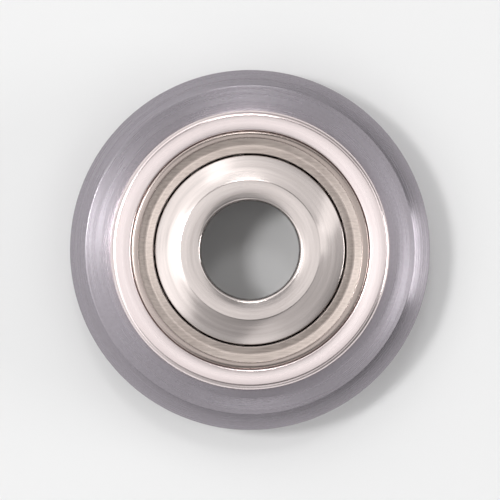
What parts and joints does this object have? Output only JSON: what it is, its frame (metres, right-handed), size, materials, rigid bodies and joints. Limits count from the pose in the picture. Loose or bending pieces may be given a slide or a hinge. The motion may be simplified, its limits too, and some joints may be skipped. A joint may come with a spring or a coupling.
{
  "type": "tile cutter wheel",
  "caption": "Round carbide scoring wheel with a V edge, clamped on a small shielded ball bearing that turns on an axle bolt through its bore.",
  "frame": {"origin": "the wheel's centre: on its spin axis, at the middle of its thickness", "axes": "+Z along the spin axis, out of the front face; the wheel is the same all round, and its front and back are alike"},
  "size_m": [0.022, 0.022, 0.006],
  "materials": {
    "ground_carbide": "ground cemented carbide, fine concentric grinding marks",
    "nickel_plated_steel": "bright turned and plated steel, faintly warm",
    "bearing_steel": "hardened bearing steel, fine turned",
    "sheet_steel": "pressed sheet steel, satin, warm",
    "polished_steel": "mirror polished balls"
  },
  "bodies": {
    "bearing_core": {"inner_ring_front": "bearing_steel", "inner_ring_back": "bearing_steel"},
    "wheel": {"cutting_disc": "ground_carbide", "outer_ring": "bearing_steel", "clamp_collar_front": "nickel_plated_steel", "clamp_collar_back": "nickel_plated_steel", "dust_shield_front": "sheet_steel", "dust_shield_back": "sheet_steel"},
    "ball_set": {"ball_01": "polished_steel", "ball_02": "polished_steel", "ball_03": "polished_steel", "ball_04": "polished_steel", "ball_05": "polished_steel", "ball_06": "polished_steel", "ball_07": "polished_steel", "ball_08": "polished_steel", "ball_09": "polished_steel", "ball_10": "polished_steel", "ball_11": "polished_steel", "ball_12": "polished_steel", "ball_13": "polished_steel"}
  },
  "joints": [
    {"name": "wheel_spin", "type": "hinge", "parent": "bearing_core", "child": "wheel", "pos_m": [0, 0, 0], "axis": [0, 0, 1], "continuous": true},
    {"name": "balls_orbit", "type": "hinge", "parent": "bearing_core", "child": "ball_set", "pos_m": [0, 0, 0], "axis": [0, 0, 1], "continuous": true}
  ],
  "couplings": [
    {"joint": "balls_orbit", "follows": "wheel_spin", "ratio": 0.61424}
  ]
}
